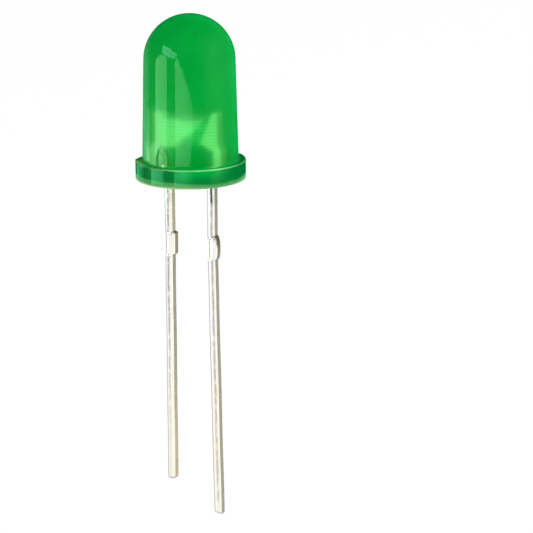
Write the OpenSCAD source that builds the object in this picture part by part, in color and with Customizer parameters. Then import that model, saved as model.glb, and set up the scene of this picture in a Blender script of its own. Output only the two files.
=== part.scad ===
// Through hole indicator lamp, 5 mm round, diffused green epoxy, two tinned leads.
// Origin: centre of the seating face under the flange. +Z up to the dome, cathode on the -X side.

/* [Lens] */
// Height from the seating face to the top of the dome
lens_h = 8.7; // [7.4:0.05:10]
// Diameter of the barrel where it meets the flange
barrel_d = 5.05; // [4.9:0.05:5.4]
// Draft of the barrel, so that it leaves its mould, in degrees
barrel_draft = 1.3; // [0.5:0.05:2.5]
// Diameter of the flange
flange_d = 5.8; // [5.7:0.05:6.4]
// Thickness of the flange
flange_h = 1; // [0.7:0.05:1.4]
// How deep the flat that marks the cathode is cut into the flange
flat_depth = 0.3; // [0.1:0.05:0.3]
// Radius on the rim of the flange
rim_r = 0.07; // [0.03:0.01:0.15]

/* [Leads] */
// Distance between the centres of the two leads
lead_pitch = 2.54; // [2.4:0.02:2.7]
// Width of a lead, across the strip it is stamped from
lead_w = 0.45; // [0.35:0.05:0.6]
// Thickness of that strip
lead_t = 0.4; // [0.3:0.05:0.6]
// Length of the cathode lead below the seating face
cathode_len = 16.5; // [10:0.5:27]
// Length of the anode lead below the seating face
anode_len = 18.1; // [10:0.1:28]
// How far the anode lead leans out below its stub, in degrees
anode_splay = 1; // [0:0.1:2]
// Radius on the corners of a lead's tip
tip_r = 0.12; // [0.05:0.01:0.16]
// How much lower one corner of the sheared anode tip ends
shear_drop = 0.07; // [0:0.01:0.15]

/* [Tie bar stubs] */
// Depth of a stub's centre below the seating face
stub_z = 3.65; // [3.2:0.05:6]
// Height of a stub, which is the width of the tie bar it was cut from
stub_h = 1.3; // [0.8:0.05:1.6]
// How far a stub stands out of its lead
stub_out = 0.15; // [0.05:0.01:0.25]
// Run of the slope at a stub's ends
stub_slope = 0.12; // [0.05:0.01:0.3]
// How deep the punch bit into the far side of the cathode lead
cathode_bite = 0.03; // [0.01:0.01:0.08]
// How deep the punch bit into the far side of the anode lead
anode_bite = 0.08; // [0.01:0.01:0.1]

/* [Lead frame] */
// Height of the anvil's top, which is the rim of its cup
anvil_top = 3.4; // [3.2:0.05:4]
// How much higher the anvil's outer corner stands than that rim
anvil_rise = 0.15; // [0:0.01:0.3]
// Height of the anvil's underside
anvil_bottom = 1.75; // [1.65:0.05:1.9]
// How far the anvil is set in from the outside of its lead
anvil_step = 0.25; // [0.1:0.01:0.3]
// How far the anvil's toe reaches in from its lead
anvil_toe = 0.55; // [0.3:0.05:0.7]
// How far the anvil's nose ends inside the edge of the cup
nose_inset = 0.08; // [0.05:0.01:0.1]
// Height at which the anode's leg steps outward
jog_z = 0.4; // [0.3:0.05:0.8]
// How far it steps outward
leg_jog = 0.1; // [0.02:0.01:0.15]
// Height of the post's top, where the wire is bonded
post_top = 3.6; // [3.5:0.05:4.2]
// Width of the post at its top
post_w = 0.35; // [0.3:0.01:0.4]
// How far the post is set in from the outside of its lead
post_step = 0.2; // [0.05:0.01:0.24]
// Height of the point on the post's inner side
point_z = 2; // [1.95:0.05:2.4]
// How far that point reaches in from the leg
point_reach = 0.64; // [0.3:0.02:0.8]
// Drop from the point to where the post and the anvil narrow to their legs
shoulder_drop = 0.42; // [0.3:0.02:0.6]

/* [Cup] */
// Outer diameter of the cup at its rim
cup_d = 1.16; // [1.1:0.02:1.2]
// Outer diameter of the cup where it runs into the anvil
cup_foot_d = 0.3; // [0.25:0.05:0.6]
// Height of the cup's outer cone
cup_h = 0.62; // [0.6:0.02:0.8]
// Width of the cup's rim
cup_rim = 0.12; // [0.08:0.01:0.16]
// Depth of the bowl
bowl_depth = 0.3; // [0.26:0.01:0.4]
// Diameter of the bowl's floor
bowl_floor_d = 0.46; // [0.44:0.01:0.5]

/* [Chip and wire] */
// Side of the chip
chip_side = 0.25; // [0.2:0.01:0.28]
// Thickness of the chip
chip_h = 0.18; // [0.1:0.01:0.2]
// Thickness of the paste that holds the chip
paste_h = 0.02; // [0.01:0.01:0.04]
// How far the paste spreads past the chip's sides
paste_spread = 0.03; // [0.01:0.005:0.035]
// Diameter of the contact pad on the chip
pad_d = 0.12; // [0.1:0.01:0.14]
// Thickness of the contact pad
pad_h = 0.01; // [0.01:0.005:0.02]
// Diameter of the bond wire
wire_d = 0.03; // [0.02:0.005:0.04]
// Diameter of the ball at the wire's first bond
ball_d = 0.09; // [0.06:0.01:0.1]
// Height of that ball
ball_h = 0.05; // [0.04:0.01:0.06]
// Radius of the wire's loop
loop_r = 0.68; // [0.65:0.01:0.8]
// Length of the pressed foot at the wire's second bond
foot_len = 0.14; // [0.1:0.01:0.2]
// Thickness of that foot
foot_h = 0.03; // [0.02:0.005:0.04]

/* [Hidden] */
$fn = 96;
corner_steps = 4;
bulge_steps = 12;
over = 1;

flange_r = flange_d / 2;
barrel_r = barrel_d / 2;
draft_run = tan(barrel_draft);
// The dome's centre is at the height where its radius equals the drafted barrel's own
dome_r = (barrel_r - (lens_h - flange_h) * draft_run) / (1 - draft_run);
dome_z = lens_h - dome_r;
flat_x = flat_depth - flange_r;

cathode_x = -lead_pitch / 2;
anode_x = lead_pitch / 2;
stub_top = -stub_z + stub_h / 2;
stub_bottom = -stub_z - stub_h / 2;
// The outer side of each lead is its left one on the cathode and its right one on the anode
cathode_left = cathode_x - lead_w / 2;
cathode_right = cathode_x + lead_w / 2;
anode_left = anode_x - lead_w / 2;
anode_right = anode_x + lead_w / 2;
splay_run = (anode_len + stub_bottom) * tan(anode_splay);
leg_left = anode_left + leg_jog;
leg_right = anode_right + leg_jog;
anvil_left = cathode_left + anvil_step;
nose_x = cup_d / 2 - nose_inset;
post_right = leg_right - post_step;
post_left = post_right - post_w;
shoulder_z = point_z - shoulder_drop;

cup_floor = anvil_top - bowl_depth;
chip_z = cup_floor + paste_h;
pad_z = chip_z + chip_h;
ball_z = pad_z + pad_h;
// The loop is an arc over the chord from the ball's middle to the middle of the pressed foot
foot_x = (post_left + post_right) / 2;
wire_start = [0, ball_z + ball_h / 2];
wire_end = [foot_x, post_top + foot_h / 2];
chord = wire_end - wire_start;
chord_angle = atan2(chord[1], chord[0]);
half_sweep = asin(norm(chord) / 2 / loop_r);
loop_centre = (wire_start + wire_end) / 2
    + loop_r * cos(half_sweep) * [sin(chord_angle), -cos(chord_angle)];

// Points of a round corner, from one angle to another about its centre
function corner(centre, radius, from, to) = [
    for (i = [0:corner_steps])
        let (a = from + (to - from) * i / corner_steps)
        centre + radius * [cos(a), sin(a)]
];

// A stub that was sheared square, on the lead's right side, from the bottom up
function square_stub(side) = [
    [side, stub_bottom],
    [side + stub_out, stub_bottom + stub_slope],
    [side + stub_out, stub_top - stub_slope / 2],
    [side, stub_top]
];

// A stub that was pressed into a bulge, half an ellipse
function bulged_stub(side) = [
    for (i = [0:bulge_steps])
        let (a = 180 * i / bulge_steps)
        [side + stub_out * sin(a), -stub_z - stub_h / 2 * cos(a)]
];

// The bite of the punch on the lead's left side, from the top down
function punch_bite(side, depth) = [
    [side, stub_top - stub_slope],
    [side + depth, stub_top - stub_slope - depth],
    [side + depth, stub_bottom + depth],
    [side, stub_bottom]
];

// Outlines of the two stampings, seen from the front, anticlockwise from the tip
cathode_outline = concat(
    corner([cathode_left + tip_r, tip_r - cathode_len], tip_r, 180, 270),
    corner([cathode_right - tip_r, tip_r - cathode_len], tip_r, 270, 360),
    square_stub(cathode_right),
    [
        [cathode_right, anvil_bottom],
        [cathode_right + anvil_toe, anvil_bottom],
        [nose_x, anvil_top],
        [-cup_d / 2, anvil_top],
        [anvil_left, anvil_top + anvil_rise],
        [anvil_left, point_z],
        [cathode_left, shoulder_z]
    ],
    punch_bite(cathode_left, cathode_bite)
);

anode_outline = concat(
    corner([anode_left + splay_run + tip_r, shear_drop + tip_r - anode_len], tip_r, 180, 270),
    [[anode_right + splay_run, -anode_len]],
    bulged_stub(anode_right),
    [
        [anode_right, jog_z],
        [leg_right, jog_z + leg_jog],
        [leg_right, shoulder_z],
        [post_right, point_z],
        [post_right, post_top],
        [post_left, post_top],
        [leg_left - point_reach, point_z],
        [leg_left, shoulder_z],
        [leg_left, jog_z + leg_jog],
        [anode_left, jog_z]
    ],
    punch_bite(anode_left, anode_bite)
);

// Stands an outline up and gives it the strip's thickness, centred on the lamp's mid plane
module stamp(outline) {
    translate([0, lead_t / 2, 0])
        rotate([90, 0, 0])
            linear_extrude(lead_t)
                polygon(outline);
}

// Flange with its rounded rim, as half a section
module flange_section() {
    square([flange_r - rim_r, flange_h]);
    translate([0, rim_r])
        square([flange_r, flange_h - 2 * rim_r]);
    for (z = [rim_r, flange_h - rim_r])
        translate([flange_r - rim_r, z])
            circle(r = rim_r);
}

// Drafted barrel under its round dome, as half a section
module barrel_section() {
    intersection() {
        polygon([
            [0, 0],
            [barrel_r + flange_h * draft_run, 0],
            [barrel_r - (lens_h - flange_h) * draft_run, lens_h],
            [0, lens_h]
        ]);
        union() {
            translate([0, dome_z])
                circle(r = dome_r);
            square([flange_r, dome_z + dome_r * sin(barrel_draft)]);
        }
    }
}

module lens_body() {
    difference() {
        rotate_extrude()
            flange_section();
        translate([flat_x - flange_d, -flange_r, -over])
            cube([flange_d, flange_d, flange_h + 2 * over]);
    }
    rotate_extrude()
        barrel_section();
}

// Cast epoxy lens, moulded round everything that it holds
module lens() {
    color([0.05, 0.6, 0.25, 0.6])
        difference() {
            lens_body();
            cathode_lead();
            anode_lead();
            die_attach();
            die();
            bond_pad();
            bond_wire();
        }
}

// Long stamping with the anvil, whose cup was pressed out to the sides
module cathode_lead() {
    color("silver")
        difference() {
            union() {
                stamp(cathode_outline);
                translate([0, 0, anvil_top - cup_h])
                    cylinder(h = cup_h, d1 = cup_foot_d, d2 = cup_d);
            }
            translate([0, 0, cup_floor])
                cylinder(h = bowl_depth, d1 = bowl_floor_d, d2 = cup_d - 2 * cup_rim);
        }
}

// Stamping with the post that the wire runs to
module anode_lead() {
    color("silver")
        stamp(anode_outline);
}

// Conductive paste under the chip
module die_attach() {
    color("gainsboro")
        translate([0, 0, cup_floor + paste_h / 2])
            cube([chip_side + 2 * paste_spread, chip_side + 2 * paste_spread, paste_h], center = true);
}

module die() {
    color("yellowgreen")
        translate([0, 0, chip_z + chip_h / 2])
            cube([chip_side, chip_side, chip_h], center = true);
}

module bond_pad() {
    color("gold")
        translate([0, 0, pad_z])
            cylinder(h = pad_h, d = pad_d);
}

// Gold wire with its ball on the pad and its pressed foot on the post
module bond_wire() {
    color("gold") {
        translate([0, 0, ball_z])
            cylinder(h = ball_h, d = ball_d);
        translate([loop_centre[0], 0, loop_centre[1]])
            rotate([90, 0, 0])
                rotate([0, 0, 90 + chord_angle - half_sweep])
                    rotate_extrude(angle = 2 * half_sweep)
                        translate([loop_r, 0])
                            circle(d = wire_d);
        translate([foot_x - foot_len / 2, -wire_d, post_top])
            cube([foot_len, 2 * wire_d, foot_h]);
    }
}

lens();
cathode_lead();
anode_lead();
die_attach();
die();
bond_pad();
bond_wire();
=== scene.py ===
import math

import bpy
import numpy as np
from mathutils import Matrix


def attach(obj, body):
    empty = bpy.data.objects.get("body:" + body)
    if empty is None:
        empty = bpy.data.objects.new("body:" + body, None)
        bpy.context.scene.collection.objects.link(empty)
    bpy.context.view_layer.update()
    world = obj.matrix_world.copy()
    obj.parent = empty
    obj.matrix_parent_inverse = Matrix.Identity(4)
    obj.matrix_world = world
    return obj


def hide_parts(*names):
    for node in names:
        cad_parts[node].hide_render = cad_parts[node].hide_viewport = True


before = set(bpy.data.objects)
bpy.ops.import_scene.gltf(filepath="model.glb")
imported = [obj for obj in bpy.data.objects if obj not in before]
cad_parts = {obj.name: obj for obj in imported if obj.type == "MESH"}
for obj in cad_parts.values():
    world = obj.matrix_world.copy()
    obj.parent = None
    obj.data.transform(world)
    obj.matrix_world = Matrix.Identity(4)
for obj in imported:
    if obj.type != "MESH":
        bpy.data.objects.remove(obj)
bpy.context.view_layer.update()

mm = 0.001
white = (1, 1, 1, 1)
black = (0, 0, 0, 1)
print("frame loaded:", len(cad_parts), "nodes")


# Shader tree helpers

# Adds a node and gives its outputs. settings are its properties; a value that is a socket is linked.
def addNode(tree, kind, values=None, **settings):
    node = tree.nodes.new(kind)
    for key, value in settings.items():
        setattr(node, key, value)
    for key, value in (values or {}).items():
        if isinstance(value, bpy.types.NodeSocket):
            tree.links.new(value, node.inputs[key])
        else:
            node.inputs[key].default_value = value
    return node.outputs


def mathNode(tree, operation, first, second=0.0, clamp=False):
    return addNode(tree, "ShaderNodeMath", {0: first, 1: second}, operation=operation, use_clamp=clamp)[0]


def product(tree, result, *factors):
    for factor in factors:
        result = mathNode(tree, "MULTIPLY", result, factor)
    return result


# Smooth step of a value from low to high
def step(tree, value, low, high, toLow=0.0, toHigh=1.0):
    values = {"Value": value, "From Min": low, "From Max": high, "To Min": toLow, "To Max": toHigh}
    return addNode(tree, "ShaderNodeMapRange", values, interpolation_type="SMOOTHSTEP")["Result"]


# 1 from low to high, and smoothly down to 0 at the two ends outside them
def between(tree, value, start, low, high, end):
    return product(tree, step(tree, value, start, low), step(tree, value, high, end, 1.0, 0.0))


# A round patch: strength up to the inner distance from a place, and smoothly down to rest at the outer one
def spotMask(tree, point, place, inner, outer, strength=1.0, rest=0.0):
    away = addNode(tree, "ShaderNodeVectorMath", {0: point, 1: place}, operation="DISTANCE")["Value"]
    return step(tree, away, inner, outer, strength, rest)


def noiseNode(tree, vector, scale, detail):
    values = {"Vector": vector, "Scale": scale, "Detail": detail}
    return addNode(tree, "ShaderNodeTexNoise", values)[0]


# Level rings, a little wavy
def ringNode(tree, vector, scale, distortion):
    values = {"Vector": vector, "Scale": scale, "Distortion": distortion, "Detail": 1.0}
    return addNode(tree, "ShaderNodeTexWave", values, bands_direction="Z")["Fac"]


def bumpNode(tree, strength, distance, height):
    values = {"Strength": strength, "Distance": distance, "Height": height}
    return addNode(tree, "ShaderNodeBump", values)[0]


def partsOf(tree, vector):
    return addNode(tree, "ShaderNodeSeparateXYZ", {0: vector})


def mixColour(tree, amount, first, second, blend="MIX"):
    values = {0: amount, 6: first, 7: second}
    return addNode(tree, "ShaderNodeMix", values, data_type="RGBA", blend_type=blend)[2]


def mixShader(tree, amount, first, second):
    return addNode(tree, "ShaderNodeMixShader", {0: amount, 1: first, 2: second})[0]


# inputs gives the default of each input, and None for a vector
def newGroup(name, inputs, outputs):
    tree = bpy.data.node_groups.new(name, "ShaderNodeTree")
    for label, default in inputs.items():
        kind = "NodeSocketVector" if default is None else "NodeSocketFloat"
        socket = tree.interface.new_socket(name=label, in_out="INPUT", socket_type=kind)
        if default is not None:
            socket.default_value = default
    for label in outputs:
        tree.interface.new_socket(name=label, in_out="OUTPUT", socket_type="NodeSocketFloat")
    return tree, tree.nodes.new("NodeGroupInput").outputs, tree.nodes.new("NodeGroupOutput").inputs


def useGroup(tree, group, values):
    return addNode(tree, "ShaderNodeGroup", values, node_tree=group)


def newMaterial(name):
    material = bpy.data.materials.new(name)
    material.use_nodes = True
    material.node_tree.nodes.clear()
    return material, material.node_tree


def setSurface(tree, shader):
    addNode(tree, "ShaderNodeOutputMaterial", {"Surface": shader})


# Object coordinates in millimetres
def millimetres(tree):
    coords = addNode(tree, "ShaderNodeTexCoord")["Object"]
    return addNode(tree, "ShaderNodeVectorMath", {0: coords, "Scale": 1000.0}, operation="SCALE")[0]


# Effects shared by several materials

# Grain: two sizes of noise added together, as a mask around a half and as a height
def buildGrain():
    tree, given, out = newGroup(
        "fineGrain", {"Vector": None, "Size": 10.0, "Contrast": 1.0}, ["Mask", "Height"])
    coarse = noiseNode(tree, given["Vector"], given["Size"], 3.0)
    fine = noiseNode(tree, given["Vector"], product(tree, given["Size"], 4.3), 2.0)
    both = mathNode(tree, "ADD", coarse, product(tree, fine, 0.4))
    spread = product(tree, mathNode(tree, "SUBTRACT", both, 0.7), given["Contrast"])
    tree.links.new(mathNode(tree, "ADD", spread, 0.5, True), out["Mask"])
    tree.links.new(spread, out["Height"])
    return tree


# Drawn streaks: noise stretched along the strip, cut off so that only its highest lines stay
def buildStreaks():
    tree, given, out = newGroup(
        "drawnStreaks", {"Vector": None, "Across": 20.0, "Along": 0.5, "Cut": 0.55}, ["Mask", "Height"])
    parts = partsOf(tree, given["Vector"])
    stretched = addNode(tree, "ShaderNodeCombineXYZ", {
        0: product(tree, parts[0], given["Across"]), 1: product(tree, parts[1], given["Along"])})[0]
    noise = noiseNode(tree, stretched, 1.0, 4.0)
    above = mathNode(tree, "ADD", given["Cut"], 0.12)
    tree.links.new(step(tree, noise, given["Cut"], above), out["Mask"])
    tree.links.new(noise, out["Height"])
    return tree


# Pits: small round spots from a cell pattern, only where a second noise is high
def buildPits():
    tree, given, out = newGroup("scatteredPits", {"Vector": None, "Size": 6.0, "Spot": 0.12}, ["Mask"])
    cells = addNode(tree, "ShaderNodeTexVoronoi", {
        "Vector": given["Vector"], "Scale": given["Size"], "Randomness": 1.0})["Distance"]
    spots = step(tree, cells, given["Spot"], product(tree, given["Spot"], 1.8), 1.0, 0.0)
    where = step(tree, noiseNode(tree, given["Vector"], 0.9, 1.0), 0.5, 0.62)
    tree.links.new(product(tree, spots, where), out["Mask"])
    return tree


fineGrain = buildGrain()
drawnStreaks = buildStreaks()
scatteredPits = buildPits()
print("shared effects built")


# Mesh helpers

def addObject(name, data):
    added = bpy.data.objects.new(name, data)
    bpy.context.scene.collection.objects.link(added)
    return added


# Rows of points run along a piece and columns go round it, anticlockwise from above.
# Each square of the grid is a face, and a fan closes the first row and the last.
def skinPiece(name, points, start, end, across=None, along=None, sharpDeg=40.0, shade=None):
    rows, cols = points.shape[:2]
    column = np.arange(cols)
    following = (column + 1) % cols
    base = np.arange(rows - 1)[:, None] * cols
    quads = np.stack([base + column, base + following, base + following + cols, base + column + cols], -1)
    pole = rows * cols
    last = pole - cols
    lowFan = np.stack([following, column, np.full(cols, pole)], -1)
    highFan = np.stack([last + column, last + following, np.full(cols, pole + 1)], -1)
    corners = np.concatenate([points.reshape(-1, 3), [start], [end]]) * mm
    mesh = bpy.data.meshes.new(name)
    mesh.from_pydata(corners.tolist(), [], quads.reshape(-1, 4).tolist() + lowFan.tolist() + highFan.tolist())
    if across is not None:
        u = np.broadcast_to(across, (rows - 1, cols + 1))
        v = np.broadcast_to(along[:, None], (rows, cols))
        quadU = np.stack([u[:, :-1], u[:, 1:], u[:, 1:], u[:, :-1]], -1).reshape(-1)
        quadV = np.stack([v[:-1], v[:-1], v[1:], v[1:]], -1).reshape(-1)
        lowU = np.stack([across[1:], across[:-1], 0 * column], -1).reshape(-1)
        highU = np.stack([across[:-1], across[1:], 0 * column], -1).reshape(-1)
        endV = np.concatenate([np.full(3 * cols, along[0]), np.full(3 * cols, along[-1])])
        uv = np.stack([np.concatenate([quadU, lowU, highU]), np.concatenate([quadV, endV])], -1)
        mesh.uv_layers.new(name="strip").data.foreach_set("uv", uv.astype(np.float32).reshape(-1))
    if shade is not None:
        values = np.concatenate([shade.reshape(-1), [0, 0]]).astype(np.float32)
        mesh.attributes.new("shade", "FLOAT", "POINT").data.foreach_set("value", values)
    mesh.validate()
    mesh.shade_smooth()
    mesh.set_sharp_from_angle(angle=math.radians(sharpDeg))
    return addObject(name, mesh)


# Stands an object at a place in mm, its own x, y and z along three directions
def standAt(thing, x, y, z, place):
    matrix = np.eye(4)
    matrix[:3] = np.stack([x, y, z, place * mm], -1)
    thing.matrix_world = Matrix(matrix)


# The piece takes its finish, rides on the one body and stands for its node
def placePiece(piece, material, node):
    piece.data.materials.clear()
    piece.data.materials.append(material)
    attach(piece, "root")
    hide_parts(node)


# Points of an arc as distance from the axis and height, from one angle to another in degrees
def arcPoints(centreR, centreZ, radius, fromDeg, toDeg, count):
    angle = np.radians(np.linspace(fromDeg, toDeg, count))
    return np.stack([centreR + radius * np.cos(angle), centreZ + radius * np.sin(angle)], -1)


def linePoints(fromPoint, toPoint, count):
    share = np.linspace(0, 1, count)[:, None]
    return np.array(fromPoint) * (1 - share) + np.array(toPoint) * share


# A bell curve, 1 at zero and falling off over a width
def bell(value, width):
    return np.exp(-(value / width) ** 2)


# How far a quarter circle of radius 1 is drawn in, from 1 at its end to 0 where it meets the straight side
def drawnIn(share):
    return 1 - np.sqrt(1 - (1 - share) ** 2)


# Lens
lensShape = {
    "height": 8.7,           # top of the dome, mm
    "barrelRadius": 2.525,   # where the barrel meets the flange
    "draftDeg": 1.3,
    "flangeRadius": 2.9,
    "flangeHeight": 1.0,
    "flatX": 2.6,            # distance of the cathode flat from the axis
    "rimRadius": 0.07,
    "footFillet": 0.13,      # hollow corner between barrel and flange
    "leadX": 1.27,           # distance of each lead from the axis
    "leadHalf": (0.22, 0.19),   # half its width and half its thickness, where resin begins to creep down
    "collar": 0.07,          # how far resin creeps down a lead
    "collarReach": 0.09,
    "columns": 264,
}

# The run of resin on the barrel
runShape = {
    "turn": -97.5,           # its place on the barrel, degrees
    "halfWidth": 0.34,       # at its widest
    "top": 2.2,
    "middle": 1.45,          # height of the hollow in it
    "relief": 0.06,
}


# Half profile, as distance from the axis and height along the rows. The first rows are the underside.
def lensProfile(s):
    draft = math.tan(math.radians(s["draftDeg"]))
    domeRadius = (s["barrelRadius"] - (s["height"] - s["flangeHeight"]) * draft) / (1 - draft)
    domeZ = s["height"] - domeRadius
    rim, wide, top, fillet = s["rimRadius"], s["flangeRadius"], s["flangeHeight"], s["footFillet"]
    foot = s["barrelRadius"] - fillet * draft
    underside = linePoints((0.03, 0), (wide - rim, 0), 66)
    rows = np.concatenate([
        underside,
        arcPoints(wide - rim, rim, rim, -80, 0, 8),
        linePoints((wide, rim + 0.04), (wide, top - rim - 0.04), 12),
        arcPoints(wide - rim, top - rim, rim, 0, 90, 9),
        linePoints((wide - rim - 0.02, top), (foot + fillet + 0.01, top), 5),
        arcPoints(foot + fillet, top + fillet, fillet, 270, 180 - s["draftDeg"], 9),
        linePoints((foot - 0.05 * draft, top + fillet + 0.05), (domeRadius + 0.04 * draft, domeZ - 0.04), 70),
        arcPoints(0, domeZ, domeRadius, s["draftDeg"], 89.2, 56)])
    return rows, len(underside), foot


# A drop, hollow in the middle, whose half width follows a sine on the way down. Gives how far it stands out
# of the barrel, and how much painted shade its outline and that of its hollow take, where the resin is also
# thicker.
def resinRun(s, turn, z, footZ, barrelRadius):
    down = np.clip((s["top"] - z) / (s["top"] - footZ), 0, 1)
    halfWidth = s["halfWidth"] * np.sin(np.pi * 0.62 * down ** 0.8) + 0.015
    side = (turn[None, :] - s["turn"] + 540) % 360 - 180
    side = np.radians(side) * barrelRadius / halfWidth      # 1 at its outline
    raised = s["relief"] * np.clip(1 - side ** 2, 0, 1) * np.clip(down * 2, 0, 1)
    raised = raised - 0.5 * s["relief"] * bell(side, 0.4) * bell(z - s["middle"], 0.28)
    inner = np.hypot(side / 0.42, (z - s["middle"]) / 0.32)
    dark = bell(np.abs(side) - 1.0, 0.3) * np.clip(down * 4, 0, 1) + 0.7 * bell(inner - 1.0, 0.35)
    onBarrel = (z > footZ + 0.03) * (z < s["top"])
    return raised * onBarrel, np.clip(dark, 0, 1) * onBarrel


# The profile turned about the axis: x = r cos(turn), y = r sin(turn). The flange's rows are drawn in towards
# the barrel where the flat cuts them off, the run stands out of the barrel, and resin creeps down the leads.
def makeLens(s, run):
    rows, underCount, foot = lensProfile(s)
    wide = s["flangeRadius"]
    edge = math.degrees(math.acos(s["flatX"] / wide))
    turn = np.linspace(0, 360, s["columns"], endpoint=False)
    nearest = [int(np.abs(turn - (180 + side * edge)).argmin()) for side in (-1, 1)]
    turn[nearest] = [180 - edge, 180 + edge]      # two columns run along the ends of the flat
    angle = np.radians(turn)
    cut = np.where(np.cos(angle) < 0, s["flatX"] / np.maximum(-np.cos(angle), 1e-6), wide)
    limit = np.minimum(cut, wide)[None, :]
    r = np.repeat(rows[:, :1], len(turn), 1)
    z = np.repeat(rows[:, 1:], len(turn), 1)
    isUnder = (np.arange(len(rows)) < underCount)[:, None]
    r = np.where(isUnder, r * limit / wide, r)
    squeeze = (limit - foot) / (wide - foot)
    r = np.where(~isUnder & (r > foot), foot + (r - foot) * squeeze, r)
    raised, shade = resinRun(run, turn, z, s["flangeHeight"], s["barrelRadius"])
    x, y = (r + raised) * np.cos(angle), (r + raised) * np.sin(angle)
    for centre in (-s["leadX"], s["leadX"]):
        outX = np.maximum(np.abs(x - centre) - s["leadHalf"][0], 0)
        outY = np.maximum(np.abs(y) - s["leadHalf"][1], 0)
        z = z - np.where(isUnder, s["collar"] * np.exp(-np.hypot(outX, outY) / s["collarReach"]), 0)
    points = np.stack([x, y, z], -1)
    return skinPiece("lens_skin", points, (0, 0, 0), (0, 0, s["height"]), sharpDeg=50, shade=shade)


# Leads
leadShape = {
    "pitch": 2.54,
    "width": 0.45,
    "thickness": 0.4,
    "edge": 0.06,            # radius along the strip's edges
    "crown": 0.012,          # how far the flat faces bulge
    "wave": 0.006,           # how far the legs wander from straight
    "waveTurn": 1.1,         # radians of that for each mm of height
    "tipRadius": 0.12,
    "tipThin": 0.45,         # share of the tip's rounding that its faces take
    "topRound": 0.03,        # height over which the upper end is rounded
    "shearReach": 0.5,
    "sharpDeg": 38,
    "stubTop": -3.0,
    "stubBottom": -4.3,
    "stubOut": 0.15,
    "stubSlope": 0.12,
}

# dents are coined marks: across from the lead's middle, height, half width, half height and depth
cathodeShape = {
    "name": "cathode_strip",
    "side": -1,
    "end": -16.5,
    "splayDeg": 0.0,
    "shearDrop": 0.0,        # how much higher the tip's left side ends than its right
    "tipRight": 1.0,         # share of the tip's rounding that the right side takes
    "topTuck": 0.004,        # rounding of the upper end
    "bite": 0.03,            # how deep the press bit into the side away from the tie bar
    "shoulder": 1.58,
    "waist": 2.0,
    "setIn": 0.25,           # how far the anvil stands in from its leg
    "cornerZ": 3.545,        # top of the anvil's outer corner
    "anvilBottom": 1.75,
    "anvilTop": 3.395,
    "toe": 0.55,
    "nose": 0.5,
    "cupEdge": -0.58,
    "cupCone": [               # profiles of the cup's two cones: distance from the axis and height
        (0.13, 2.77), (0.15, 2.785), (0.565, 3.37), (0.575, 3.388), (0.565, 3.399), (0.5, 3.4), (0.2, 3.4)],
    "cupBowl": [
        (0.1, 3.1), (0.215, 3.1), (0.23, 3.108), (0.44, 3.37), (0.475, 3.405), (0.53, 3.46), (0.2, 3.5)],
    "dents": [(0.0, -3.02, 0.07, 0.05, 0.018), (0.02, -4.26, 0.09, 0.05, 0.018)],
}
anodeShape = {
    "name": "anode_strip",
    "side": 1,
    "end": -18.1,
    "splayDeg": 1.0,
    "shearDrop": 0.07,
    "tipRight": 0.35,
    "topTuck": 0.02,
    "bite": 0.08,
    "jogZ": 0.4,             # the leg steps outward inside the lens
    "jog": 0.1,
    "pointZ": 2.0,
    "pointReach": 0.64,
    "pointDrop": 0.42,
    "postTop": 3.6,
    "postWidth": 0.35,
    "postStep": 0.2,
    "dents": [(0.03, -3.12, 0.06, 0.05, 0.03)],
}


# Cross section of the strip as a ring. Each point has its corner's signs or its place along a flat face, the
# way it faces, and its kind: 0 on a corner's arc, 1 on the front or the back, 2 on a sheared side.
def stripRing(arcSteps=4, faceSteps=12, sideSteps=8):
    face = np.linspace(-1, 1, faceSteps + 1)[1:-1]
    side = np.linspace(-1, 1, sideSteps + 1)[1:-1]
    ring = []
    for signX, signY, startDeg, run, (outX, outY) in (
            (1, -1, -90, side, (1, 0)), (1, 1, 0, -face, (0, 1)), (-1, 1, 90, -side, (-1, 0)),
            (-1, -1, 180, face, (0, -1))):
        for angle in np.radians(np.linspace(startDeg, startDeg + 90, arcSteps + 1)):
            ring.append((signX, signY, math.cos(angle), math.sin(angle), 0))
        for place in run:
            ring.append((outX or place, outY or place, outX, outY, 1 if outY else 2))
    return np.array(ring, float).T


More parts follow.
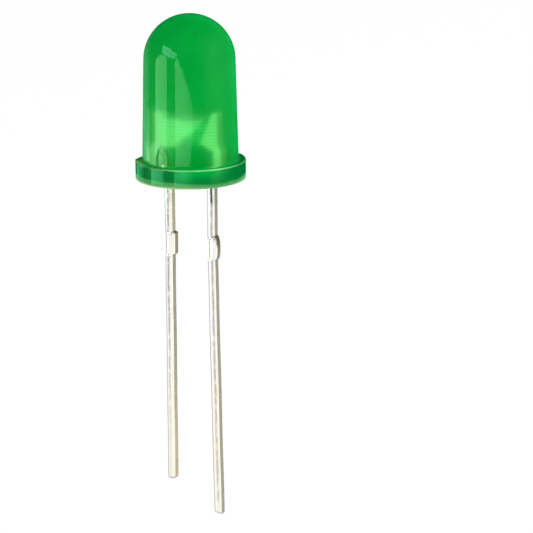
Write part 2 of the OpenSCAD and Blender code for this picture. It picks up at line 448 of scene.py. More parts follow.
# A strip lofted by height. left and right are heights and places of its sides, and every ring is the strip's
# section between them, with rounded corners. Tip rows shrink as a quarter circle; dents press in both faces.
def makeStrip(heights, left, right, s, own):
    sx, sy, cx, cy, kind = stripRing()
    l, r = np.interp(heights, *np.array(left, float).T), np.interp(heights, *np.array(right, float).T)
    tuck = s["tipRadius"] * drawnIn(np.clip((heights - own["end"]) / s["tipRadius"], 0, 1))
    topTuck = own["topTuck"] * drawnIn(np.clip((heights[-1] - heights) / s["topRound"], 0, 1))
    l = l + tuck + topTuck
    r = r - tuck * own["tipRight"] - topTuck
    half = s["thickness"] / 2 - tuck * s["tipThin"] - topTuck
    reach = (r - l) / 2
    e = np.minimum(s["edge"], np.minimum(half, reach) * 0.6)
    x = ((l + r) / 2)[:, None] + sx * (reach - e)[:, None] + cx * e[:, None]
    y = sy * (half - e)[:, None] + cy * e[:, None]
    y = y + np.sign(sy) * s["crown"] * (1 - sx ** 2) * (kind == 1)
    z = np.repeat(heights[:, None], len(sx), 1)
    centre = own["side"] * s["pitch"] / 2
    for place, height, wide, tall, depth in own["dents"]:
        y = y - np.sign(y) * depth * bell(x - centre - place, wide) * bell(z - height, tall) * (kind == 1)
    wave = s["wave"] * np.sin(z * s["waveTurn"] + centre) * np.clip(-z / 2, 0, 1)
    splay = math.tan(math.radians(own["splayDeg"])) * np.maximum(s["stubBottom"] - z, 0)
    x = x + wave + splay
    across = np.clip((x - l[:, None] - splay) / (r - l)[:, None], 0, 1)
    z = z + own["shearDrop"] * (1 - across) * np.clip(1 - (z - own["end"]) / s["shearReach"], 0, 1)
    points = np.stack([x, y, z], -1)
    # distance round the section for the strip's UV, zero in the middle of the front face
    ringX = sx * (s["width"] / 2 - s["edge"]) + cx * s["edge"]
    ringY = sy * (s["thickness"] / 2 - s["edge"]) + cy * s["edge"]
    stepX, stepY = np.diff(ringX, append=ringX[0]), np.diff(ringY, append=ringY[0])
    around = np.concatenate([[0], np.cumsum(np.hypot(stepX, stepY))])
    around = around - around[np.argmin(np.abs(ringX) + (ringY > 0) * 9)]
    low, high = points[0].mean(0), points[-1].mean(0)
    return skinPiece(own["name"], points, low, high, around, heights, s["sharpDeg"])


# Heights packed closely at a lead's features and a few tenths apart along its plain runs
def stripHeights(endZ, topZ, closeAt, s):
    plain = np.arange(endZ + 0.6, topZ, 0.3)
    tip = endZ + s["tipRadius"] * (1 - np.cos(np.linspace(0.02, np.pi / 2, 9)))
    near = [np.linspace(*run) for run in [(-4.5, -2.8, 60), (-0.3, 0.3, 7)] + closeAt]
    top = topZ - s["topRound"] * (1 - np.sin(np.linspace(0, np.pi / 2, 5)))
    every = np.concatenate([plain, tip, [endZ + 0.2, endZ + 0.35], *near, top])
    return np.unique(np.round(every[(every > endZ) & (every <= topZ)], 4))


# Heights and places of the side away from the tie bar, from the tip to the top of the bite
def bittenSide(left, s, own):
    low, high, bite = s["stubBottom"], s["stubTop"] - s["stubSlope"], own["bite"]
    bitten = left + bite
    return [(own["end"], left), (low, left), (low + bite, bitten), (high - bite, bitten), (high, left)]


# The cup: an outer cone joined to the anvil, and the bowl's cone cut out of both
def pressCup(lead, s, own):
    turn = np.linspace(0, 2 * np.pi, 72, endpoint=False)
    solids = []
    for name, operation in (("cupCone", "UNION"), ("cupBowl", "DIFFERENCE")):
        rows = np.array(own[name])
        ring = np.stack([rows[:, :1] * np.cos(turn), rows[:, :1] * np.sin(turn), rows[:, 1:] + 0 * turn], -1)
        solid = skinPiece(name, ring, (0, 0, rows[0, 1]), (0, 0, rows[-1, 1]))
        cut = lead.modifiers.new(operation.lower(), "BOOLEAN")
        cut.operation, cut.object, cut.solver = operation, solid, "EXACT"
        solids.append(solid)
    graph = bpy.context.evaluated_depsgraph_get()
    evaluated = lead.evaluated_get(graph)
    whole = bpy.data.meshes.new_from_object(evaluated, preserve_all_data_layers=True, depsgraph=graph)
    lead.modifiers.clear()
    lead.data = whole
    for solid in solids:
        bpy.data.objects.remove(solid)
    whole.shade_smooth()
    whole.set_sharp_from_angle(angle=math.radians(s["sharpDeg"]))


def makeCathode(s, own, material):
    left, right = [own["side"] * s["pitch"] / 2 + side * s["width"] / 2 for side in (-1, 1)]
    top, bottom, out = s["stubTop"], s["stubBottom"], right + s["stubOut"]
    inner, anvilTop, cornerZ = left + own["setIn"], own["anvilTop"], own["cornerZ"]
    leftSide = bittenSide(left, s, own) + [(own["shoulder"], left), (own["waist"], inner), (cornerZ, inner)]
    rightSide = [
        (own["end"], right), (bottom, right), (bottom + s["stubSlope"], out), (top - s["stubSlope"] / 2, out),
        (top, right), (own["anvilBottom"] - 0.015, right), (own["anvilBottom"] + 0.015, right + own["toe"]),
        (anvilTop, own["nose"]), (anvilTop + 0.006, own["cupEdge"]), (cornerZ, inner + 0.02)]
    heights = stripHeights(own["end"], cornerZ, [
        (1.5, 2.1, 28), (2.1, 3.3, 12), (anvilTop - 0.01, anvilTop + 0.014, 5), (3.42, 3.52, 5)], s)
    lead = makeStrip(heights, leftSide, rightSide, s, own)
    pressCup(lead, s, own)
    placePiece(lead, material, "cathode_lead")
    return lead


def makeAnode(s, own, material):
    left, right = [own["side"] * s["pitch"] / 2 + side * s["width"] / 2 for side in (-1, 1)]
    middle, half = (s["stubTop"] + s["stubBottom"]) / 2, (s["stubTop"] - s["stubBottom"]) / 2
    jogLow, jogHigh, pointLow = own["jogZ"], own["jogZ"] + own["jog"], own["pointZ"] - own["pointDrop"]
    innerLeft, innerRight = left + own["jog"], right + own["jog"]
    post = innerRight - own["postStep"]
    leftSide = bittenSide(left, s, own) + [
        (jogLow, left), (jogHigh, innerLeft), (pointLow, innerLeft),
        (own["pointZ"], innerLeft - own["pointReach"]), (own["postTop"], post - own["postWidth"])]
    stub = [
        (middle - half * math.cos(angle), right + s["stubOut"] * math.sin(angle))
        for angle in np.linspace(0, math.pi, 25)]
    rightSide = [(own["end"], right)] + stub + [
        (jogLow, right), (jogHigh, innerRight), (pointLow, innerRight), (own["pointZ"], post),
        (own["postTop"], post)]
    heights = stripHeights(own["end"], own["postTop"], [(0.35, 0.55, 8), (1.5, 2.1, 24), (2.1, 3.5, 12)], s)
    lead = makeStrip(heights, leftSide, rightSide, s, own)
    placePiece(lead, material, "anode_lead")
    return lead


# Epoxy: milky green casting. Part of the light goes in and shows the lead frame softly, the rest comes back
# milky. Patches are a place in mm, their size and their strength.
epoxyLook = {
    "body": (0.0, 0.32, 0.05, 1),
    "bodyLight": (0.004, 0.38, 0.07, 1),
    "flange": (0.0, 0.13, 0.025, 1),
    # painted light from inside the flange wall, strongest near litAt and at its top
    "flangeLight": (0.0, 0.28, 0.04, 1),
    "litAt": (1.9, -2.19, 0.6),      # where light from inside comes out of the flange
    # painted glints: light patches on the flange wall
    "flangeGlint": (0.04, 0.62, 0.14, 1),
    "glints": [((1.03, -2.71, 0.8), 0.6, 0.15)],
    # painted light: a pale line low on the flange where light comes out of the seating face
    "foot": (0.42, 0.6, 0.22, 1),
    # painted light: a lighter band along the bottom of the flange, where light comes out of the seating face
    "lowLightBand": (0.065, 0.25, 0.08, 1),
    # painted light along the flange's top rim, and a pale patch of it where it ends
    "rimGlow": (0.2, 0.58, 0.22, 1),
    "rimGlowEnd": (0.16, 0.4, 0.15, 1),
    "rimGlowEndAt": (-2.05, -2.1, 1.0),
    # painted shade: low on the barrel, and on the outline of the run of resin, where the resin is also
    # thicker
    "paintedShade": (0.0, 0.13, 0.02, 1),
    # painted light
    "innerGlow": (0.03, 0.95, 0.17, 1),   # light from the frame, scattered in front of it
    "innerGlowAt": [((1.4, -2.08, 2.77), 0.85, 0.38), ((1.68, -1.87, 3.22), 0.45, 0.32)],
    "darkSpeck": (0.01, 0.14, 0.02, 1),
    "darkSpecks": [((1.09, -1.36, 7.96), 0.12, 0.8), ((2.13, -0.93, 6.4), 0.1, 0.8)],
    # painted highlight at the bottom of the run of resin
    "paleSpeck": (0.85, 1.0, 0.85, 1),
    "paleSpecks": [((-0.24, -2.55, 1.1), 0.11, 0.9)],
    "inside": (0.0, 0.42, 0.065, 1),
    "clearTint": (0.32, 1.0, 0.38, 1),
    "ringTint": (0.27, 0.89, 0.32, 1),    # fine rings that the turned mould leaves
    "lampTint": (0.55, 0.92, 0.55, 1),    # colour of the lamps' light once it is in
    "glossTint": (0.40, 1.0, 0.55, 1),
    "gloss": 0.03,
    "bend": 1.5,                     # refractive index
    "clearRoughness": 0.33,
    "haloRoughness": 0.6,
    "haloShare": 0.48,               # share of the light that is scattered widely on its way in
    "milk": 0.42,                    # share of the light that comes back at the surface
    "edgeMilk": 0.9,                 # the same where the surface turns away
}


# Milky colour, with painted light and painted shade. place is the three parts of point, and shade the painted
# shade on the outline of the run of resin.
def paintEpoxy(tree, look, point, place, radius, onFlange, lowLightBand, shade):
    x, z = place[0], place[2]
    grain = useGroup(tree, fineGrain, {"Vector": point, "Size": 0.45, "Contrast": 2.2})["Mask"]
    colour = mixColour(tree, grain, look["body"], look["bodyLight"])
    # painted light from the frame, scattered in front of it
    for spot, size, strength in look["innerGlowAt"]:
        colour = mixColour(tree, spotMask(tree, point, spot, 0.15, size, strength), colour, look["innerGlow"])
    # painted shade: the barrel darker towards its foot
    colour = mixColour(tree, step(tree, z, 1.9, 1.05, 0.0, 0.4), colour, look["paintedShade"])
    # wall of the flange with painted light from inside, lighter near litAt and at its top, and the painted
    # light bands round it
    atLit = spotMask(tree, point, look["litAt"], 0.4, 2.0)
    lit = product(tree, atLit, step(tree, z, 0.3, 0.95, 0.1, 1.0))
    wall = mixColour(tree, lit, look["flange"], look["flangeLight"])
    # painted glints on the wall
    for spot, size, strength in look["glints"]:
        wall = mixColour(tree, spotMask(tree, point, spot, 0.1, size, strength), wall, look["flangeGlint"])
    colour = mixColour(tree, onFlange, colour, wall)
    # painted light: the lighter band low on the flange, weaker to the right
    band = mixColour(tree, step(tree, x, 1.0, 2.7, 0.0, 0.4), look["lowLightBand"], look["flange"])
    colour = mixColour(tree, lowLightBand, colour, band)
    # painted light: a pale line low on the flange where light comes out of the seating face
    foot = product(
        tree, step(tree, z, 0.16, 0.0), step(tree, radius, 2.45, 2.58, 0.0, 0.6),
        step(tree, x, 0.8, 2.5, 1.0, 0.25))
    colour = mixColour(tree, foot, colour, look["foot"])
    # painted light along the top rim, strongest near litAt
    rim = product(
        tree, step(tree, radius, 2.80, 2.84), step(tree, z, 0.935, 0.96),
        step(tree, noiseNode(tree, point, 1.1, 2.0), 0.35, 0.6, 0.7, 1.0),
        spotMask(tree, point, look["litAt"], 0.9, 2.6, 1.0, 0.25))
    colour = mixColour(tree, rim, colour, look["rimGlow"])
    # painted light: a pale patch where the light on the rim ends
    rimGlowEnd = product(
        tree, spotMask(tree, point, look["rimGlowEndAt"], 0.3, 1.0, 0.8), step(tree, z, 0.93, 0.97),
        step(tree, radius, 2.6, 2.7))
    colour = mixColour(tree, rimGlowEnd, colour, look["rimGlowEnd"])
    # painted shade on the run's outline and its hollow, where the resin is also thicker
    colour = mixColour(tree, product(tree, shade, 0.45), colour, look["paintedShade"])
    # dark specks, and a painted highlight at the bottom of the run
    for kind in ("dark", "pale"):
        for spot, size, strength in look[kind + "Specks"]:
            speckAndHighlight = spotMask(tree, point, spot, size * 0.3, size, strength)
            colour = mixColour(tree, speckAndHighlight, colour, look[kind + "Speck"])
    return colour


# Tint of the light that goes in: rings low in front of the frame, and painted shade on the outline of the run
def tintEpoxy(tree, look, point, place, shade):
    x, z = place[0], place[2]
    rings = product(
        tree, ringNode(tree, point, 1.8, 0.5), between(tree, z, 1.7, 2.2, 3.5, 3.9),
        between(tree, x, -1.0, -0.7, 2.05, 2.3), step(tree, x, 1.3, 1.8, 0.55, 1.0))
    tint = mixColour(tree, rings, look["clearTint"], look["ringTint"])
    return mixColour(tree, product(tree, shade, 0.45), tint, look["paintedShade"])


def makeEpoxy(look):
    material, tree = newMaterial("milkyEpoxy")
    point = millimetres(tree)
    place = partsOf(tree, point)
    x, y, z = place
    radius = mathNode(tree, "SQRT", mathNode(tree, "ADD", product(tree, x, x), product(tree, y, y)))
    onFlange = product(tree, step(tree, radius, 2.57, 2.66), step(tree, z, 1.05, 0.98))
    bandZ = mathNode(tree, "ADD", z, step(tree, x, 0.4, 2.5, 0.0, 0.11))     # narrower to the right
    lowLightBand = product(tree, step(tree, bandZ, 0.39, 0.27), step(tree, radius, 2.3, 2.58))
    shade = addNode(tree, "ShaderNodeAttribute", attribute_name="shade")["Fac"]
    colour = paintEpoxy(tree, look, point, place, radius, onFlange, lowLightBand, shade)
    tint = tintEpoxy(tree, look, point, place, shade)
    bump = bumpNode(tree, 0.12, 0.00002, noiseNode(tree, point, 0.7, 1.0))
    milky = addNode(tree, "ShaderNodeBsdfPrincipled", {
        "Base Color": colour, "Roughness": 0.6, "Specular IOR Level": 0.0, "Normal": bump})[0]
    sharp, halo = [
        addNode(tree, "ShaderNodeBsdfRefraction", {
            "Color": tint, "Roughness": look[rough], "IOR": look["bend"]})[0]
        for rough in ("clearRoughness", "haloRoughness")]
    clear = mixShader(tree, look["haloShare"], sharp, halo)
    shine = addNode(tree, "ShaderNodeBsdfGlossy", {
        "Color": look["glossTint"], "Roughness": look["gloss"], "Normal": bump})[0]
    inside = addNode(tree, "ShaderNodeBsdfPrincipled", {
        "Base Color": look["inside"], "Roughness": 0.8, "Specular IOR Level": 0.0})[0]
    opaque = mathNode(tree, "MAXIMUM", onFlange, lowLightBand)
    facing = addNode(tree, "ShaderNodeLayerWeight", {"Blend": 0.5})["Facing"]
    milk = step(tree, facing, 0.35, 0.8, look["milk"], look["edgeMilk"])
    milk = mathNode(tree, "ADD", product(tree, opaque, 0.5), milk, True)
    body = mixShader(tree, milk, clear, milky)
    fresnel = addNode(tree, "ShaderNodeFresnel", {"IOR": look["bend"], "Normal": bump})[0]
    outside = mixShader(tree, fresnel, body, shine)
    backfacing = addNode(tree, "ShaderNodeNewGeometry")["Backfacing"]
    sides = mixShader(tree, backfacing, outside, inside)
    lampRay = addNode(tree, "ShaderNodeLightPath")["Is Shadow Ray"]
    lampPass = addNode(tree, "ShaderNodeBsdfTransparent", {"Color": look["lampTint"]})[0]
    setSurface(tree, mixShader(tree, lampRay, sides, lampPass))
    return material


# Tin: bright plated strip with drawn streaks, a painted reflection, painted shade, darker sheared edges, and
# a matt silvered part inside the epoxy with painted light on it
tinLook = {
    "bright": (1.0, 0.99, 0.98, 1),
    "cream": (1.0, 0.945, 0.81, 1),
    "edge": (0.34, 0.315, 0.225, 1),
    "tan": (0.56, 0.48, 0.31, 1),
    # dark: the painted reflection along the front face, pits and grain
    "dark": (0.1, 0.095, 0.085, 1),
    # painted shade: a grey line along the front face's left edge
    "rim": (0.36, 0.36, 0.33, 1),
    # painted shade on faces that look down
    "underside": (0.12, 0.2, 0.26, 1),
    "stub": (0.2, 0.165, 0.115, 1),
    "mark": (0.42, 0.47, 0.58, 1),
    "inside": (0.96, 0.97, 0.94, 1),
    "insideRing": (0.55, 0.6, 0.5, 1),
    "insideEdge": (0.26, 0.26, 0.15, 1),
    # painted shade over the cup
    "cupShade": (0.01, 0.12, 0.03, 1),
    # painted light
    "glow": (0.52, 0.62, 0.48, 1),       # light that the epoxy scatters onto the frame
    "glowLow": (0.66, 0.63, 0.46, 1),
    "glowEdge": (1.0, 0.6, 0.72, 1),
}

# What differs between the two leads
cathodeFinish = {
    "streakAt": -0.02,       # place of the dark streak across the front face, mm
    "seed": 3.0,             # shifts the noise along the strip
    "scratchTo": 0.5,        # height above which the streak is a scratch
    "upperStreak": 1.3,      # strength of the streak under the lens and at the tip
    "lowerStreak": 0.3,
    "tan": 0.8,              # how tan the sheared sides are at the top and at the tip
    "lowTan": 0.8,
    "stubBrown": 0.7,
}
anodeFinish = {
    "streakAt": 0.05,
    "seed": 11.0,
    "scratchTo": -1.15,
    "upperStreak": 1.1,
    "lowerStreak": 0.9,
    "tan": 0.1,
    "lowTan": 0.0,
    "stubBrown": 1.0,
}


# The plated part: cream to the right of a dark broken streak that is a painted reflection of the gap between
# the windows, coined marks and pits, painted shade on an edge and on faces that look down, and the sheared
# sides
def paintPlating(tree, look, own, shape, point, strip, facing, grain, streaks, sheared):
    height = partsOf(tree, point)[2]
    u = partsOf(tree, strip)[0]
    broken = useGroup(tree, drawnStreaks, {"Vector": strip, "Across": 4.0, "Along": 2.2, "Cut": 0.4})["Mask"]
    pits = useGroup(tree, scatteredPits, {"Vector": point, "Size": 5.0, "Spot": 0.1})["Mask"]
    along = {"W": mathNode(tree, "ADD", height, own["seed"]), "Scale": 1.3, "Detail": 3.0}
    wobble = addNode(tree, "ShaderNodeTexNoise", along, noise_dimensions="1D")[0]
    wobble = product(tree, mathNode(tree, "SUBTRACT", wobble, 0.5), 0.05)
    fromStreak = mathNode(tree, "SUBTRACT", u, own["streakAt"])
    offStreak = mathNode(tree, "ABSOLUTE", mathNode(tree, "ADD", fromStreak, wobble))
    low, high = shape["stubBottom"], shape["stubTop"]
    onStub = between(tree, height, low - 0.06, low, high, high + 0.06)
    cream = mathNode(
        tree, "MAXIMUM", step(tree, fromStreak, -0.02, 0.05), step(tree, height, -8.0, -13.0))
    cream = product(tree, cream, step(tree, grain["Mask"], 0.1, 0.6, 0.5, 1.0))
    colour = mixColour(tree, cream, look["bright"], look["cream"])
    colour = mixColour(tree, product(tree, streaks["Mask"], 0.25), colour, look["edge"])
    depth = product(
        tree, mathNode(tree, "ADD", product(tree, broken, 0.3), 0.22),
        step(tree, height, -17.0, -3.0, own["lowerStreak"], own["upperStreak"]),
        step(tree, height, -17.9, -16.8, 0.3, 1.0))
    scratch = step(tree, height, own["scratchTo"] - 0.1, own["scratchTo"], 0.0, 0.6)
    depth = mathNode(tree, "ADD", depth, scratch)
    depth = product(tree, depth, mathNode(tree, "SUBTRACT", 1.0, product(tree, onStub, 0.85)))
    # painted reflection: the dark streak of the gap between the windows, with breaks and a scratch in it
    line = step(tree, offStreak, 0.02, 0.1, 1.0, 0.0)
    colour = mixColour(tree, mathNode(tree, "MULTIPLY", line, depth, True), colour, look["dark"])
    # painted shade: a grey line along the front face's left edge
    fromShadedEdge = mathNode(tree, "ABSOLUTE", mathNode(tree, "ADD", u, 0.2))
    colour = mixColour(tree, step(tree, fromShadedEdge, 0.03, 0.07, 0.85, 0.0), colour, look["rim"])
    for markZ in (high, low):
        away = mathNode(tree, "ABSOLUTE", mathNode(tree, "SUBTRACT", height, markZ - 0.06))
        mark = product(
            tree, step(tree, away, 0.06, 0.17, 0.75, 0.0), step(tree, offStreak, 0.04, 0.1, 1.0, 0.0))
        colour = mixColour(tree, mark, colour, look["mark"])
    colour = mixColour(tree, product(tree, pits, 0.35), colour, look["dark"])
    tanned = mathNode(
        tree, "MAXIMUM", step(tree, height, -4.5, -4.2, 0.0, own["tan"]),
        step(tree, height, -8.0, -16.0, 0.0, own["lowTan"]))
    edged = mixColour(tree, tanned, look["edge"], look["tan"])
    edged = mixColour(tree, product(tree, grain["Mask"], 0.3), edged, look["dark"])
    stubSide = product(tree, onStub, step(tree, facing[0], 0.0, 0.5, 0.0, own["stubBrown"]))
    edged = mixColour(tree, stubSide, edged, look["stub"])
    colour = mixColour(tree, sheared, colour, edged)
    # painted shade on faces that look down
    return mixColour(tree, step(tree, facing[2], -0.1, -0.45, 0.0, 0.9), colour, look["underside"])


# The part inside the epoxy: its silver, with rings, dark edges and painted shade over the cup, and the
# painted light scattered onto it
def paintInside(tree, look, point, facing):
    place = partsOf(tree, point)
    x, height = place[0], place[2]
    rings = product(tree, ringNode(tree, point, 1.85, 0.6), 0.35)
    silver = mixColour(tree, rings, look["inside"], look["insideRing"])
    shearedIn = step(tree, mathNode(tree, "ABSOLUTE", facing[0]), 0.6, 0.9)
    offCup = mathNode(
        tree, "MAXIMUM", step(tree, mathNode(tree, "ABSOLUTE", x), 0.6, 0.7),
        step(tree, height, 2.2, 2.6, 1.0, 0.0))
    silver = mixColour(tree, product(tree, shearedIn, offCup), silver, look["insideEdge"])
    # painted shade over the cup
    cupShade = product(
        tree, step(tree, height, 3.17, 3.38, 0.0, 0.8), between(tree, x, -1.05, -0.8, 0.5, 0.65))
    silver = mixColour(tree, cupShade, silver, look["cupShade"])
    # painted light that the epoxy scatters onto the frame, in other tones low down and at the left edge
    glow = mixColour(tree, step(tree, height, 2.8, 1.2), look["glow"], look["glowLow"])
    glow = mixColour(tree, step(tree, x, -0.9, -1.15), glow, look["glowEdge"])
    return silver, mixColour(tree, 1.0, silver, glow, "MULTIPLY")


def makeTin(name, look, own, shape):
    material, tree = newMaterial(name)
    coords = addNode(tree, "ShaderNodeTexCoord")
    point = millimetres(tree)
    height = partsOf(tree, point)[2]
    facing = partsOf(tree, coords["Normal"])
    strip = addNode(tree, "ShaderNodeMapping", {"Vector": coords["UV"], "Location": (0, own["seed"], 0)})[0]
    streaks = useGroup(tree, drawnStreaks, {"Vector": strip, "Across": 22.0, "Along": 0.8, "Cut": 0.56})
    grain = useGroup(tree, fineGrain, {"Vector": point, "Size": 2.5, "Contrast": 1.6})
    sheared = step(tree, mathNode(tree, "ABSOLUTE", facing[1]), 0.25, 0.55, 1.0, 0.0)
    within = step(tree, height, -0.02, 0.05)
    plating = paintPlating(tree, look, own, shape, point, strip, facing, grain, streaks, sheared)
    silver, glow = paintInside(tree, look, point, facing)
    colour = mixColour(tree, within, plating, silver)
    # painted light: the part inside the epoxy glows, a little less low down
    glow = mixColour(tree, within, black, glow)
    glow = mixColour(tree, step(tree, height, 0.9, 1.7, 0.2, 0.0), glow, black)
    outside = mathNode(tree, "SUBTRACT", 1.0, within)
    metallic = product(tree, outside, mathNode(tree, "SUBTRACT", 1.0, product(tree, sheared, 0.35)))
    rough = mathNode(tree, "ADD", product(tree, grain["Mask"], 0.1), 0.06)
    rough = mathNode(tree, "ADD", rough, product(tree, sheared, 0.2))
    relief = mathNode(tree, "ADD", streaks["Height"], product(tree, grain["Height"], 0.6))
    setSurface(tree, addNode(tree, "ShaderNodeBsdfPrincipled", {
        "Base Color": colour, "Metallic": metallic, "Roughness": rough, "Emission Color": glow,
        "Emission Strength": 1.0, "Normal": bumpNode(tree, 0.35, 0.00001, relief)})[0])
    return material


# Small parts in the cup: cured paste, sawn chip and gold
chipLook = {
    "silver_paste": {
        "node": "die_attach", "colour": (0.62, 0.62, 0.6, 1), "worn": (0.4, 0.4, 0.38, 1),
        "metallic": 0.35, "rough": 0.5, "grain": 14.0},
    "crystal": {
        "node": "die", "colour": (0.55, 0.6, 0.2, 1), "worn": (0.35, 0.42, 0.12, 1),
        "metallic": 0.0, "rough": 0.2, "grain": 9.0},
    "pad_gold": {
        "node": "bond_pad", "colour": (0.9, 0.68, 0.3, 1), "worn": (0.7, 0.5, 0.2, 1),
        "metallic": 1.0, "rough": 0.25, "grain": 20.0},
    "wire_gold": {
        "node": "bond_wire", "colour": (0.9, 0.68, 0.3, 1), "worn": (0.75, 0.52, 0.2, 1),
        "metallic": 1.0, "rough": 0.22, "grain": 25.0},
}


def makeGrained(name, look):
    material, tree = newMaterial(name)
    grain = useGroup(tree, fineGrain, {"Vector": millimetres(tree), "Size": look["grain"], "Contrast": 2.0})
    colour = mixColour(tree, grain["Mask"], look["colour"], look["worn"])
    rough = mathNode(tree, "ADD", product(tree, grain["Mask"], 0.2), look["rough"])
    setSurface(tree, addNode(tree, "ShaderNodeBsdfPrincipled", {
        "Base Color": colour, "Metallic": look["metallic"], "Roughness": rough,
        "Normal": bumpNode(tree, 0.3, 0.000003, grain["Height"])})[0])
    return material


lens = makeLens(lensShape, runShape)
placePiece(lens, makeEpoxy(epoxyLook), "lens")
print("lens made:", len(lens.data.polygons), "faces")
cathode = makeCathode(leadShape, cathodeShape, makeTin("cathodeTin", tinLook, cathodeFinish, leadShape))
anode = makeAnode(leadShape, anodeShape, makeTin("anodeTin", tinLook, anodeFinish, leadShape))
print("leads made:", len(cathode.data.polygons), "and", len(anode.data.polygons), "faces")
for slotName, chipPart in chipLook.items():
    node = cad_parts[chipPart["node"]]
    node.data.materials.clear()
    node.data.materials.append(makeGrained(slotName + "Look", chipPart))
print("chip, pad and wire dressed")


# Camera
cameraSpec = {
    "turnDeg": 29.0,              # from the front towards the anode
    "riseDeg": 12.85,             # above the seating face
    "rollDeg": -0.45,
    "distance": 250.0,            # to the lamp's origin, mm
    "pixelsPerMm": 19.12,
    "originPixel": (190.85, 177.35),
    "pictureSide": 533,
    "sensorWidth": 36,
}


# Sets the camera, and gives the turn about the upright axis, in degrees, at which it stands
def makeCamera(s):
    middle = s["pictureSide"] / 2
    perRadian = s["pixelsPerMm"] * s["distance"]
    offX, offY = middle - s["originPixel"][0], middle - s["originPixel"][1]
    turn = math.radians(s["turnDeg"]) - math.atan(offX / perRadian)
    rise = math.radians(s["riseDeg"]) + math.atan(offY / perRadian)
    roll = math.radians(s["rollDeg"])
    back = np.array([math.sin(turn) * math.cos(rise), -math.cos(turn) * math.cos(rise), math.sin(rise)])
    level = np.array([math.cos(turn), math.sin(turn), 0.0])
    upright = np.cross(back, level)
    right = level * math.cos(roll) + upright * math.sin(roll)
    up = -level * math.sin(roll) + upright * math.cos(roll)
    eye = back * s["distance"] + right * offX / s["pixelsPerMm"] - up * offY / s["pixelsPerMm"]
    data = bpy.data.cameras.new("camera")
    data.sensor_width = s["sensorWidth"]
    data.lens = s["sensorWidth"] * perRadian / s["pictureSide"]
    data.clip_start, data.clip_end = 0.01, 10
    camera = addObject("camera", data)
    standAt(camera, right, up, back, eye)
    bpy.context.scene.camera = camera
    return math.degrees(math.atan2(back[1], back[0]))


cameraTurn = makeCamera(cameraSpec)


# Studio: world, floor, soft lamps, and screens that only reflections meet
studioSpec = {
    "ambient": 0.6,
    "floorZ": -18.1,
    "floorHalf": 900,             # half the floor's side, mm
    "floorPale": (0.97, 0.97, 0.97, 1),
    "floorDull": (0.93, 0.93, 0.93, 1),
    "floorGlow": 0.94,            # how much of the floor is plain white to the camera and to reflections
    "screenReach": 80.0,          # distance of a screen from the lamp's axis, mm
    "lampDistance": 260,
    "lampSize": 170,
}

# Turn from the camera in degrees (right is positive), rise in degrees, and watts
lamps = {
    "keyLamp": (48, 46, 0.365),
    "rightLamp": (98, 26, 0.36),
    "frontLamp": (-34, 24, 0.26),
}

# A column is the turn from the camera in degrees, the lower and upper height in mm, and the brightness there.
# Where span gives both heights, a column is only turn and brightness. fade is what is left of that at the
# upper edge, tint the colour and reach the distance from the axis. The dark screen stands behind the others.
screens = {
    "windowLeft": {"columns": [
        (-92, -16.5, -3, 3.3), (-90.4, -16.5, 4, 3.3), (-87, -16.5, 11, 3.3), (-83.8, -16.5, 16, 3.3),
        (-78.5, -16.5, 22, 3.2), (-70, -16.5, 25.5, 3.0), (-60, -16.5, 23, 2.8), (-57, -16.5, 12, 2.8)]},
    "windowFront": {"columns": [
        (-35, -13.3, 16, 2.7), (-33, -13.3, 21, 2.7), (-30.5, -13.3, 26.5, 2.7), (-28, -13.3, 20, 2.7),
        (-25.8, -13.3, 13.8, 2.6), (-20.9, -13.2, -5.8, 2.5), (-15, -13, -6.3, 2.4),
        (-10.3, -12.9, -6.7, 2.2), (-5.7, -12.8, -7.1, 2.0), (-0.6, -12.6, -7.6, 1.8),
        (1.2, -11.8, -7.7, 1.6), (5.7, -10.6, -8.3, 1.4), (7.6, -9.8, -8.9, 1.2)]},
    "skylight": {"tint": (1, 1, 1.45, 1), "columns": [
        (-82, 50, 54, 4), (-78, 38, 54, 4), (-72.5, 27, 54, 3.7), (-60, 25, 54, 3.3), (-54, 23, 53, 3),
        (-45, 21, 48, 2.8), (-38, 19.5, 43.5, 2.7), (-32, 38, 41, 2.6)]},
    "doorway": {"fade": 0.0, "span": (-16.4, 26), "columns": [
        (-172, 0.14), (-160, 0.28), (-150, 0.45), (-140, 0.53), (-122, 0.63), (-118, 0.3)]},
    "doorstep": {"fade": 0.8, "reach": 79.6, "span": (-16.4, -13.7), "columns": [
        (-160, 0.5), (-146, 0.9), (-139, 1.2), (-132.6, 1.7), (-126, 3.0), (-121, 3.6), (-115.5, 3.2),
        (-111.5, 0.8), (-109, 0)]},
    "doorjamb": {"fade": 0.45, "reach": 79.8, "span": (-13.7, -11), "columns": [
        (-160, 0.6), (-146, 0.9), (-132, 1.1), (-122, 2.0), (-116, 2.0), (-111.5, 0)]},
    "windowSill": {"tint": (0.28, 1, 0.72, 1), "span": (-17.7, -16.5), "columns": [
        (-150, 1.5), (-125, 1.4), (-108, 0.1), (-88.5, 0.1), (-87.5, 5.2), (-66, 3.5), (-57.5, 2.8),
        (-56.5, 0), (-34, 0), (-33, 3.6), (-20, 2.4), (-1, 1.0), (12, 0)]},
    "leftGlow": {"fade": 0.0, "reach": 80.8, "span": (-16.4, 48), "columns": [
        (-126, 0), (-112, 0.22), (-60, 0.22), (-40, 0.2), (-28, 0)]},
    "rightGlow": {"span": (-16.4, 36), "columns": [
        (30, 0), (42, 0.3), (60, 0.5), (84, 0.43), (100, 0.25), (120, 0.13), (140, 0.06), (160, 0.03)]},
    "upperGlow": {"fade": 0.0, "span": (36, 150), "columns": [
        (30, 0), (42, 0.3), (60, 0.5), (84, 0.45), (100, 0.3), (120, 0.18), (140, 0.1), (160, 0.05)]},
    "darkScreen": {"reach": 81.5, "columns": [
        (turn, -18.05 if abs(turn) < 170 else 0.0, 170.0, 0) for turn in range(-180, 181, 9)]},
}


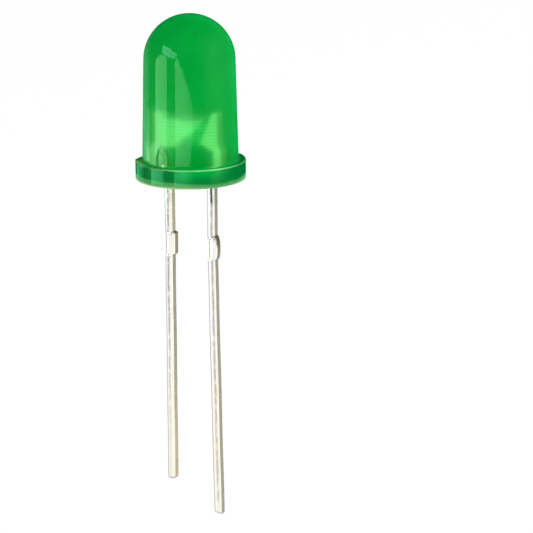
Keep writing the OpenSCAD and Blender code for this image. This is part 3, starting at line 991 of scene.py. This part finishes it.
def rayIsSeen(tree):
    path = addNode(tree, "ShaderNodeLightPath")
    seen = mathNode(tree, "MAXIMUM", path["Is Camera Ray"], path["Is Glossy Ray"])
    return mathNode(tree, "MAXIMUM", seen, path["Is Transmission Ray"])


def makeWorld(spec):
    world = bpy.data.worlds.new("studio")
    world.use_nodes = True
    tree = world.node_tree
    tree.nodes.clear()
    soft, plain = [
        addNode(tree, "ShaderNodeBackground", {"Color": white, "Strength": strength})[0]
        for strength in (spec["ambient"], 1.0)]
    mixed = mixShader(tree, rayIsSeen(tree), soft, plain)
    addNode(tree, "ShaderNodeOutputWorld", {"Surface": mixed})
    bpy.context.scene.world = world


def makeFloor(spec):
    half, z = spec["floorHalf"] * mm, spec["floorZ"] * mm
    mesh = bpy.data.meshes.new("floor")
    corners = [(-half, -half, z), (half, -half, z), (half, half, z), (-half, half, z)]
    mesh.from_pydata(corners, [], [(0, 1, 2, 3)])
    floor = addObject("floor", mesh)
    material, tree = newMaterial("paleFloor")
    grain = useGroup(tree, fineGrain, {"Vector": millimetres(tree), "Size": 0.05, "Contrast": 0.3})
    colour = mixColour(tree, grain["Mask"], spec["floorPale"], spec["floorDull"])
    paint = addNode(tree, "ShaderNodeBsdfDiffuse", {"Color": colour})[0]
    glow = addNode(tree, "ShaderNodeEmission", {"Color": white, "Strength": 1.0})[0]
    setSurface(tree, mixShader(tree, product(tree, rayIsSeen(tree), spec["floorGlow"]), paint, glow))
    mesh.materials.append(material)


# An upright screen curved round the lamp: a strip of faces between two heights, as bright as its columns say.
# The dark one has a lid.
def makeScreen(name, own, spec):
    span = own.get("span")
    columns = [(column[0], *span, column[1]) if span else column for column in own["columns"]]
    given = np.array(columns, float).T
    turn = np.unique(np.concatenate([given[0], np.arange(given[0, 0], given[0, -1], 4.0)]))
    low, high, level = [np.interp(turn, given[0], row) for row in given[1:]]
    angle = np.radians(cameraTurn + turn)
    reach = own.get("reach", spec["screenReach"])
    x, y = reach * np.cos(angle), reach * np.sin(angle)
    points = np.concatenate([np.stack([x, y, low], -1), np.stack([x, y, high], -1)]) * mm
    count = len(turn)
    first = np.arange(count - 1)
    faces = np.stack([first, first + 1, first + 1 + count, first + count], -1).tolist()
    if not level.any():
        faces.append(list(range(count, 2 * count - 1)))
    mesh = bpy.data.meshes.new(name)
    mesh.from_pydata(points.tolist(), [], faces)
    levels = np.concatenate([level, level * own.get("fade", 1.0)]).astype(np.float32)
    mesh.attributes.new("level", "FLOAT", "POINT").data.foreach_set("value", levels)
    material, tree = newMaterial(name)
    bright = addNode(tree, "ShaderNodeAttribute", attribute_name="level")["Fac"]
    glow = addNode(tree, "ShaderNodeEmission", {"Color": own.get("tint", white), "Strength": bright})
    setSurface(tree, glow[0])
    mesh.materials.append(material)
    screen = addObject(name, mesh)
    screen.visible_camera = screen.visible_diffuse = screen.visible_transmission = False
    screen.visible_shadow = screen.visible_volume_scatter = False


def makeLamp(name, turnDeg, riseDeg, watts, spec):
    data = bpy.data.lights.new(name, "AREA")
    data.shape, data.size, data.energy = "DISK", spec["lampSize"] * mm, watts
    lamp = addObject(name, data)
    turn, rise = math.radians(cameraTurn + turnDeg), math.radians(riseDeg)
    away = np.array([math.cos(turn) * math.cos(rise), math.sin(turn) * math.cos(rise), math.sin(rise)])
    side = np.cross((0, 0, 1), away)
    side = side / np.linalg.norm(side)
    standAt(lamp, side, np.cross(away, side), away, away * spec["lampDistance"])
    lamp.visible_camera = lamp.visible_glossy = False


makeWorld(studioSpec)
makeFloor(studioSpec)
for screenName, ownScreen in screens.items():
    makeScreen(screenName, ownScreen, studioSpec)
for lampName, ownLamp in lamps.items():
    makeLamp(lampName, *ownLamp, studioSpec)
bpy.context.scene.view_settings.view_transform = "Standard"
print("studio set")
